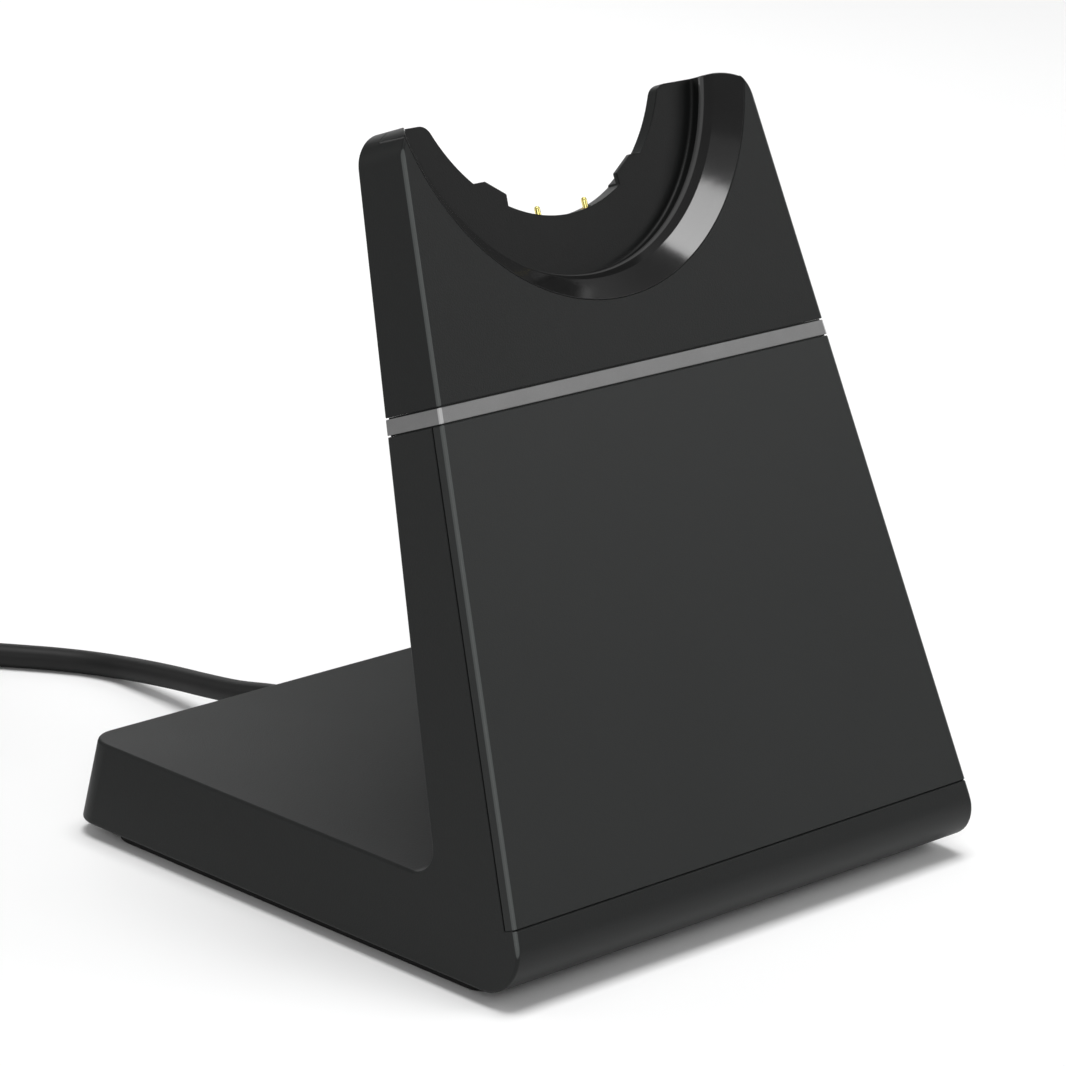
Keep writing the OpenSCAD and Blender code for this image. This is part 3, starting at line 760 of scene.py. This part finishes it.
# %% Strap on the coil
strap = flat_curve("coil_strap", [
    rounded_rect((-4.1, 4.1), (0, 15.4), 1.6),
    rounded_rect((-3.6, 3.6), (0.5, 14.9), 1.3),
], 3.5)
merge(strap, flat=False)
edit(strap, "VERT", everything=True)
bpy.ops.mesh.tris_convert_to_quads()
close()
combine(strap, block("buckle", (3.8, 5.8), (4.5, 10.5), (-4.2, 4.2)), "UNION")
soften(strap, 0.12, 2)
shade(strap)
round_coil = Matrix.Translation(COIL_AT / MM) @ Matrix.Rotation(math.radians(-60), 4, "Z")
upright = Matrix.Translation((21, 0, 0)) @ Matrix.Rotation(math.radians(90), 4, "X")
hand_over(strap, "cable_tie", DESK @ round_coil @ upright)

# %% Plug grip
grip = block("plug_grip", (8, 30), (-7.75, 7.75), (-4, 4))
round_over(grip, 1.5, 5, lambda a, b: abs(a.x - b.x) > 20)
edit(grip, "FACE")
pads = bmesh.from_edit_mesh(grip.data)
for face in pads.faces:
    face.select_set(abs(face.normal.z) > 0.99)
bmesh.update_edit_mesh(grip.data)
bpy.ops.mesh.inset(thickness=2.2, use_individual=True)
bpy.ops.mesh.extrude_region_shrink_fatten(TRANSFORM_OT_shrink_fatten={"value": -0.35})
close()
soften(grip, 0.3, 3)
neck_sleeve = [(1.82, 0), (2.3, 0)]
for k in range(3):
    y = 1.2 + 2 * k
    r = 2.45 + 0.2 * k
    neck_sleeve += [(r, y), (r - 0.4, y + 0.15), (r - 0.4, y + 0.75), (r + 0.08, y + 0.9)]
neck_sleeve += [(3.2, 8.2), (1.82, 8.2)]
quarter_turn = Matrix.Rotation(math.radians(-90), 4, "Z")
combine(grip, turned("plug_sleeve", neck_sleeve, quarter_turn, 48), "UNION")
shade(grip)
PLUG = DESK @ Matrix.Translation((-96, 84, 4)) @ Matrix.Rotation(math.radians(265), 4, "Z")
hand_over(grip, "usb_plug_body", PLUG)

# %% [markdown]
# Each charging pin stands on a coil spring inside its barrel, which closes up as its pin is pressed.
# Here each spring is one fixed helix, drawn at one length in the stand's frame.

# %% Pin springs
WIRE_D, SPRING_R, TURNS = 0.14, 0.38, 9
SPRING_FROM, SPRING_TO = 92.884, 97.884


def spring(name, x):
    """A helix of round wire up the slope of the front."""
    curve = bpy.data.curves.new(name, "CURVE")
    curve.dimensions = "3D"
    curve.bevel_depth = WIRE_D / 2
    curve.bevel_resolution = 1
    curve.use_fill_caps = True
    line = curve.splines.new("POLY")
    steps = 16 * TURNS
    line.points.add(steps)
    for i, point in enumerate(line.points):
        turn = math.tau * TURNS * i / steps
        up = SPRING_FROM + (SPRING_TO - SPRING_FROM) * i / steps
        point.co = (x + SPRING_R * math.cos(turn), PIN_DEPTH + SPRING_R * math.sin(turn), up, 1)
    piece = as_mesh(name, curve)
    merge(piece, flat=False)
    return piece


springs = []
for side, x in (("left", -PIN_X), ("right", PIN_X)):
    wire = settle(spring(side + "_spring", x), BASE @ TILT)
    shade(wire)
    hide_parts("pin_spring_" + side)
    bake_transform(wire)
    springs.append(wire)

# %% [markdown]
# A finish is written as sums on fields. A field wraps one output socket of a material, and the usual
# operators add the Math nodes, so a pattern reads like a formula. All patterns start from the
# piece's own coordinates in metres, which makes a grain of 0.2 mm the same size on every piece.


# %% Fields
class Field:
    """One output socket of a material, to be used in sums."""

    def __init__(self, socket):
        self.socket = socket

    def node(self, kind, settings, inputs, out=0):
        """Adds a node to the field's material: its settings first, then its values and links."""
        tree = self.socket.id_data
        made = tree.nodes.new("ShaderNode" + kind)
        for name, value in settings.items():
            setattr(made, name, value)
        for name, value in inputs.items():
            if isinstance(value, Field):
                tree.links.new(value.socket, made.inputs[name])
            else:
                made.inputs[name].default_value = value
        return Field(made.outputs[out])

    def math(self, operation, *values):
        return self.node("Math", {"operation": operation}, dict(enumerate(values)))

    def __add__(self, other):
        return self.math("ADD", self, other)

    __radd__ = __add__

    def __sub__(self, other):
        return self.math("SUBTRACT", self, other)

    def __rsub__(self, other):
        return self.math("SUBTRACT", other, self)

    def __mul__(self, other):
        return self.math("MULTIPLY", self, other)

    __rmul__ = __mul__


def noise(place, size, detail=2):
    """Soft random patches of about one size, from 0 to 1."""
    return place.node("TexNoise", {}, {"Vector": place, "Scale": 1 / size, "Detail": detail})


def cells(place, size):
    """Distance in cells packed like grains of sand, from 0 to about 1."""
    return place.node("TexVoronoi", {}, {"Vector": place, "Scale": 1 / size})


def stretched(place, sizes, turn=(0, 0, 0)):
    """The place in a turned frame, in units of three sizes, for brushed and turned surfaces."""
    return place.node("Mapping", {"vector_type": "TEXTURE"},
                      {"Vector": place, "Rotation": turn, "Scale": sizes})


def step(field, low, high):
    """A smooth rise from 0 at low to 1 at high."""
    return field.node("MapRange", {"interpolation_type": "SMOOTHSTEP"},
                      {"Value": field, "From Min": low, "From Max": high})


def tint(field, low, high):
    """A colour that goes from one to the other with the field."""
    low, high = (c if isinstance(c, Field) else (*c, 1) for c in (low, high))
    return field.node("Mix", {"data_type": "RGBA"}, {0: field, 6: low, 7: high}, out=2)


# %% Finishes
def finish(name, **fixed):
    """A new material. Gives its place field and its shader, with the fixed values set."""
    material = bpy.data.materials.new(name)
    material.use_nodes = True
    shader = material.node_tree.nodes["Principled BSDF"]
    for socket, value in fixed.items():
        shader.inputs[socket.replace("_", " ")].default_value = value
    coordinates = material.node_tree.nodes.new("ShaderNodeTexCoord")
    return material, Field(coordinates.outputs["Object"]), shader


def lay(shader, colour, roughness, height, depth):
    """Joins a finish's fields to its shader. The height is a relief, depth metres deep."""
    tree = colour.socket.id_data
    relief = height.node("Bump", {}, {"Height": height, "Distance": depth})
    tree.links.new(colour.socket, shader.inputs["Base Color"])
    tree.links.new(roughness.socket, shader.inputs["Roughness"])
    tree.links.new(relief.socket, shader.inputs["Normal"])


def grey(value, warm=0):
    return (value * (1 + warm), value, value * (1 - warm))


def ink(value):
    """Black pigment with a trace of green and blue in it."""
    return (value * 0.95, value * 1.02, value)


# %% [markdown]
# Some finishes change with the place. A mask is a field that is 1 in one place and 0 elsewhere, and
# a distance makes one: here the distance from the line where the front meets a side, and the
# distance from the axis of the ring. Both read coordinates, so they stay where they are on a piece.
# Both masks mark where a highlight is painted.


# %% Masks by place
def split(place):
    """The three coordinates of a place."""
    return [place.node("SeparateXYZ", {}, {"Vector": place}, out=axis) for axis in range(3)]


def front_edge_highlight(place):
    """1 on the rounded edges between the leaning front and the sides, for a painted highlight; 0
    elsewhere.
    """
    x, y, z = split(place)
    from_side = BASE_W / 2 * MM - (z - FOOT_H) * math.tan(SIDE_LEAN) - x.math("ABSOLUTE", x)
    from_front = (y - corner.y) * math.cos(LEAN) - (z - FOOT_H) * math.sin(LEAN)
    return step(from_side + from_front, 0.48 * MM, 0.38 * MM)


def lip_highlight(place):
    """1 on the ring's inner lip, for a painted highlight; 0 on the rest of the ring."""
    x, y, z = split(place)
    above = (y - corner.y) * math.sin(LEAN) + (z - FOOT_H) * math.cos(LEAN) - RING_UP * MM
    reach = place.math("SQRT", x * x + above * above)
    return step(reach, (RING_IN_R + 0.26) * MM, (RING_IN_R + 0.16) * MM)


# %% [markdown]
# The housing, the head and the panel are one black plastic from three moulds. Spark erosion leaves a
# mould with fine overlapping craters, so the grain is made of small cells with a finer noise in
# them. Broad faint patches, where the skin cooled a little differently, keep large faces alive. The
# two long edges of the front are made smoother than the faces and painted paler: a painted highlight
# for the thin line of light that a moulded edge catches. The dish is painted darker than the head
# round it, as painted shade for its recess inside the ring.


# %% Moulded black plastic
def moulded(name, colour, rough, grain, depth, specular):
    """Black plastic with a spark-eroded grain, so many metres wide and deep."""
    material, place, shader = finish(name, Specular_IOR_Level=specular)
    patches = noise(place, 0.03, 3)
    craters = cells(place, grain)
    fine = noise(place, grain * 0.6)
    edges = front_edge_highlight(place)
    plain = tint(0.7 * patches + 0.3 * fine, ink(colour * 0.86), ink(colour * 1.14))
    lay(
        shader,
        # The paler colour on the front's long edges is a painted highlight.
        tint(edges, plain, ink(0.075)),
        rough - 0.05 + 0.08 * patches + 0.05 * fine - 0.18 * edges,
        craters * 0.6 + fine * 0.4,
        depth,
    )
    return material


body_skin = moulded("moulded_black_body", 0.012, 0.45, 0.25 * MM, 0.02 * MM, 0.2)
head_skin = moulded("moulded_black_head", 0.0112, 0.45, 0.25 * MM, 0.02 * MM, 0.17)
# The dish's darker black is painted shade for its recess inside the ring.
dish_painted_shade = moulded("moulded_black_dish_painted_shade", 0.005, 0.42, 0.25 * MM, 0.02 * MM, 0.14)
panel_skin = moulded("satin_black_panel", 0.018, 0.45, 0.2 * MM, 0.012 * MM, 0.22)
plate_skin = moulded("coarse_black_plate", 0.016, 0.62, 0.5 * MM, 0.05 * MM, 0.35)
print("moulded finishes:", [m.name for m in (body_skin, head_skin, dish_painted_shade, panel_skin, plate_skin)])

# %% [markdown]
# The accent band is sprayed in a satin grey with a little metal flake. The ring is sprayed gloss
# black: it is smooth, but a sprayed coat always has a very shallow orange peel. Each has a painted
# highlight, a paler colour for the thin line of light that an edge shows: the band on its front
# corners, the ring on its inner lip.

# %% Sprayed finishes
band_skin, place, shader = finish("satin_grey_paint", Metallic=0.25, Specular_IOR_Level=0.5)
flake = step(noise(place, 0.08 * MM, 0), 0.6, 0.7)
mottle = noise(place, 4 * MM)
paint = tint(0.7 * mottle + 0.3 * flake, grey(0.142), grey(0.192))
lay(
    shader,
    # The paler grey on the band's front corners is a painted highlight.
    tint(front_edge_highlight(place), paint, grey(0.45)),
    0.42 - 0.1 * flake + 0.04 * mottle,
    noise(place, 0.5 * MM, 1),
    0.004 * MM,
)

ring_skin, place, shader = finish("gloss_black_lacquer", Specular_IOR_Level=0.5)
haze = noise(place, 8 * MM, 3)
lay(
    shader,
    # The paler grey on the ring's inner lip is a painted highlight.
    tint(lip_highlight(place), tint(haze, grey(0.006), grey(0.010)), grey(0.06)),
    0.1 + 0.04 * haze,
    noise(place, 1.6 * MM, 0),
    0.003 * MM,
)
print("sprayed finishes:", [m.name for m in (band_skin, ring_skin)])

# %% [markdown]
# The foot is matt silicone rubber, which picks up a trace of dust. The cable's jacket is a soft vinyl:
# smoother than the housing, with faint marks along it from the extruder. The strap is woven nylon,
# drawn by two crossed waves that push each other up and down.

# %% Rubber, jacket and strap
foot_skin, place, shader = finish("black_silicone_foot", Specular_IOR_Level=0.3)
dust = step(noise(place, 3 * MM, 4), 0.45, 0.75)
lay(
    shader,
    tint(dust, grey(0.010), grey(0.018, 0.04)),
    0.72 + 0.12 * dust,
    noise(place, 0.3 * MM, 3),
    0.02 * MM,
)

cable_skin, place, shader = finish("black_vinyl_jacket", Specular_IOR_Level=0.2)
drag = noise(place, 0.8 * MM, 2)
rub = noise(place, 12 * MM, 3)
lay(
    shader,
    tint(rub, grey(0.011), grey(0.017)),
    0.42 + 0.1 * rub + 0.06 * drag,
    drag,
    0.008 * MM,
)

strap_skin, place, shader = finish("woven_black_strap", Specular_IOR_Level=0.3)
lengthwise = stretched(place, (MM, MM, MM), (math.radians(45), 0, math.radians(30)))
warp = place.node("TexWave", {"bands_direction": "X"}, {"Vector": lengthwise, "Scale": 0.45})
weft = place.node("TexWave", {"bands_direction": "Y"}, {"Vector": lengthwise, "Scale": 0.45})
weave = warp * weft + (1 - warp) * (1 - weft)
lay(
    shader,
    tint(weave, grey(0.008), grey(0.022)),
    0.8 - 0.15 * weave,
    weave,
    0.08 * MM,
)

grip_skin = moulded("soft_black_overmould", 0.015, 0.5, 0.18 * MM, 0.01 * MM, 0.35)
print("soft finishes:", [m.name for m in (foot_skin, cable_skin, strap_skin, grip_skin)])

# %% [markdown]
# Metals differ by how they were worked. Turned pins and barrels carry fine rings, rolled plate has
# long straight scratches, and plated screws and springs are a little cloudy. One function draws all
# of them: a noise drawn out along the way the tool went.


# %% Metals
def worked_metal(name, colour, rough, sizes, turn, depth):
    """A metal with marks of three sizes in millimetres, along its own turned axes."""
    material, place, shader = finish(name, Metallic=1.0)
    lines = noise(stretched(place, [size * MM for size in sizes], turn), 1, 3)
    cloud = noise(place, 3 * MM, 3)
    darker = [c * 0.82 for c in colour]
    lay(
        shader,
        tint(0.5 * lines + 0.5 * cloud, darker, colour),
        rough - 0.06 + 0.12 * lines + 0.06 * cloud,
        lines,
        depth,
    )
    return material


along_pin = (-LEAN, 0, 0)
along_plug = (0, 0, math.radians(265))
straight = (0, 0, 0)
gold = worked_metal("turned_gold", (0.88, 0.76, 0.26), 0.24, (2, 2, 0.05), along_pin, 0.002 * MM)
barrel_gold = worked_metal("turned_brass", (0.80, 0.60, 0.28), 0.3, (2, 2, 0.08), along_pin, 0.003 * MM)
drawn_wire = worked_metal("drawn_wire", (0.62, 0.62, 0.64), 0.3, (1, 1, 0.04), along_pin, 0.002 * MM)
rolled_plate = worked_metal(
    "rolled_steel", (0.48, 0.48, 0.50), 0.38, (20, 0.12, 0.12), straight, 0.01 * MM,
)
zinc = worked_metal("zinc_plate", (0.56, 0.57, 0.60), 0.34, (0.6, 0.1, 0.1), straight, 0.004 * MM)
nickel = worked_metal("nickel_plate", (0.66, 0.65, 0.63), 0.24, (8, 0.06, 0.06), along_plug, 0.002 * MM)
print("metals:", [m.name for m in (gold, barrel_gold, drawn_wire, rolled_plate, zinc, nickel)])

# %% [markdown]
# Inside sit the boards, their parts and the wiring. A solder mask is a thin green lacquer over
# copper, so the traces show as slightly lighter and raised lanes that turn at right angles.


# %% Boards and small plastics
def plain_plastic(name, low, high, rough, grain, depth):
    """The plastic of a small part, blotched between two colours."""
    material, place, shader = finish(name, Specular_IOR_Level=0.45)
    blotch = noise(place, 2.5 * MM, 3)
    fine = noise(place, grain)
    lay(shader, tint(0.6 * blotch + 0.4 * fine, low, high), rough + 0.1 * fine, fine, depth)
    return material


board_skin, place, shader = finish("green_solder_mask", Specular_IOR_Level=0.5)
lanes = place.node("TexVoronoi", {"distance": "CHEBYCHEV"}, {"Vector": place, "Scale": 1 / (2.4 * MM)})
copper = step(lanes, 0.34, 0.38)
fibre = noise(place, 0.5 * MM)
lay(
    shader,
    tint(0.8 * copper + 0.2 * fibre, (0.010, 0.085, 0.040), (0.025, 0.150, 0.070)),
    0.26 + 0.08 * fibre,
    copper + 0.2 * fibre,
    0.03 * MM,
)
NYLON = (0.66, 0.63, 0.55), (0.78, 0.76, 0.69)
RED = (0.30, 0.018, 0.016), (0.44, 0.035, 0.03)
WHITE = (0.66, 0.66, 0.63), (0.78, 0.78, 0.75)
chip_skin = plain_plastic("black_epoxy", grey(0.009), grey(0.016), 0.55, 0.12 * MM, 0.006 * MM)
nylon = plain_plastic("natural_nylon", *NYLON, 0.42, 0.4 * MM, 0.006 * MM)
clamp_skin = plain_plastic("black_nylon", grey(0.012), grey(0.022), 0.45, 0.4 * MM, 0.008 * MM)
wire_skin = plain_plastic("red_insulation", *RED, 0.36, 0.3 * MM, 0.004 * MM)
tongue_skin = plain_plastic("white_tongue", *WHITE, 0.4, 0.3 * MM, 0.004 * MM)
print("materials in the scene:", len(bpy.data.materials))

# %% [markdown]
# Now each piece gets its finish. The modelled pieces are dressed here, and the solids that stay as
# they are come last: they have their slots already, so only the material in a slot changes.


# %% Dressing the pieces
def dress(piece, *materials):
    """Gives a piece its materials in place of any that it had."""
    piece.data.materials.clear()
    for material in materials:
        piece.data.materials.append(material)


for piece, skin in (
    (body, body_skin), (panel, panel_skin), (foot, foot_skin), (usb_lead, cable_skin),
    (relief, cable_skin), (strap, strap_skin), (grip, grip_skin),
):
    dress(piece, skin)
for wire in springs:
    dress(wire, drawn_wire)
print("lead's finish:", usb_lead.data.materials[0].name)

# %% [markdown]
# Three pieces take two finishes. The ring's cut ends at the tips of the horns are as matt as the
# head. The head's dish, inside the ring, takes the darker black: painted shade for the recess. The
# narrow grooves above and below the band are as dark as the body: painted shade in the grooves.


# %% Pieces with two finishes
FACE_UP = TILT @ Vector((0, 0, 1))
TIPS_FROM = 108
DISH_FROM, DISH_TO = 4.9, 6.7
NEAR = 0.06


def dress_twice(piece, first, second, wanted):
    """Two finishes, the second on the faces that pass a test of face, depth and distance up."""
    dress(piece, first, second)
    picked = 0
    for face in piece.data.polygons:
        if wanted(face, *off_face((face.center - corner) / MM)):
            face.material_index = 1
            picked += 1
    print(piece.name, "faces with the second finish:", picked)


def at_tip(face, depth, up):
    return up > TIPS_FROM and face.normal.dot(FACE_UP) > 0.5


def in_dish(face, depth, up):
    reach = math.hypot(face.center.x / MM, up - RING_UP)
    return DISH_FROM < depth < DISH_TO and reach < DISH_R + NEAR


def in_groove(face, depth, up):
    return not BAND_FROM + SEAM + 0.02 < up < BAND_FROM + SEAM + BAND_H - 0.02


dress_twice(ring, ring_skin, head_skin, at_tip)
# The dish takes the darker black as painted shade.
dress_twice(head, head_skin, dish_painted_shade, in_dish)
# The band's groove faces take the body's black as painted shade.
dress_twice(band, band_skin, body_skin, in_groove)

# %% Dressing the solids that stay
solids_in = {
    gold: ("pin_plunger_left", "pin_plunger_right"),
    barrel_gold: ("pin_barrel_left", "pin_barrel_right"),
    rolled_plate: ("ballast_plate",),
    zinc: ("ballast_screws", "power_screws", "clamp_screws", "base_screws"),
    nickel: ("usb_plug_shell",),
    board_skin: ("contact_board", "power_board"),
    chip_skin: ("charge_chip",),
    nylon: ("cable_connector",),
    clamp_skin: ("cable_clamp",),
    wire_skin: ("contact_wires",),
    tongue_skin: ("usb_plug_tongue",),
    plate_skin: ("base_plate",),
}
for material, names in solids_in.items():
    for name in names:
        for slot in nodes[name].material_slots:
            slot.material = material
print("dressed solids:", sum(len(names) for names in solids_in.values()), "of", len(nodes))

# %% [markdown]
# The desk is a plain white top, wide enough to fill the picture behind the stand. It is matt, so it
# takes the stand's shadow and shows nothing else.

# %% Desk top
bpy.ops.mesh.primitive_plane_add(size=4)
desk = bpy.context.object
desk.name = "desk_top"
desk_white, place, shader = finish("desk_white", Specular_IOR_Level=0)
cloudy = noise(place, 0.2, 2)
lay(shader, tint(cloudy, grey(0.94), grey(0.95)), 0.8 + 0.1 * cloudy, cloudy, 0.1 * MM)
dress(desk, desk_white)
print("desk top, m:", [round(v, 1) for v in desk.dimensions])

# %% [markdown]
# Black plastic shows its form by what it reflects, not by its shade, so each lamp is there to be
# seen in one part of the stand. The room is a plain grey. One bright softbox hangs overhead: it lights
# the desk and draws the bright bar on the ring, and a small faint one beside it softens the bar's
# end. A panel at the front right lays a sheen on the leaning front. Two panels behind light the
# sides and the wall of the notch. One at the front left picks out the long edge nearest the eye.

# %% Light
room = bpy.data.worlds.new("room")
bpy.context.scene.world = room
room.use_nodes = True
room.node_tree.nodes["Background"].inputs["Color"].default_value = (*grey(0.25), 1)


def softbox(name, direction, across, distance, size, radiance):
    """A lamp that faces the stand. Its sizes are per metre of distance, its brightness as seen."""
    width, height = size[0] * distance, size[1] * distance
    lamp = bpy.data.lights.new(name, "AREA")
    lamp.shape = "RECTANGLE"
    lamp.size, lamp.size_y = width, height
    lamp.energy = radiance * math.pi * width * height
    holder = bpy.data.objects.new(name, lamp)
    collection.objects.link(holder)
    towards = Vector(direction).normalized()
    upward = towards.cross(Vector(across)).normalized()
    turn = Matrix((upward.cross(towards), upward, towards)).transposed().to_4x4()
    holder.matrix_world = Matrix.Translation(Vector((0, 0, 0.06)) + towards * distance) @ turn
    print(name, "at, m:", [round(v, 2) for v in holder.location], "power, W:", round(lamp.energy, 1))


def bearing(azimuth, elevation):
    """A direction by its bearing round the stand and its height, in degrees."""
    a, e = math.radians(azimuth), math.radians(elevation)
    return (math.sin(a) * math.cos(e), -math.cos(a) * math.cos(e), math.sin(e))


def level(azimuth):
    """The level direction across that bearing, for a lamp's width."""
    a = math.radians(azimuth)
    return (math.cos(a), math.sin(a), 0)


softbox("overhead_softbox", (0.01, -0.05, 1), (1, 0, 0), 3.0, (0.72, 0.4), 8.5)
softbox("overhead_spill", (-0.27, -0.33, 1), (1, 0, 0), 3.0, (0.3, 0.22), 0.3)
softbox("front_right_panel", bearing(46, 26), level(46), 0.5, (0.45, 0.4), 3.0)
softbox("rear_right_panel", bearing(150, 20), level(150), 0.6, (0.35, 0.4), 1.8)
softbox("rear_left_panel", bearing(-143, 18), level(-143), 1.6, (0.5, 0.5), 1.2)
softbox("front_left_panel", bearing(-47, 23), level(-47), 1.6, (0.34, 0.28), 6.0)
bpy.context.scene.view_settings.view_transform = "Standard"
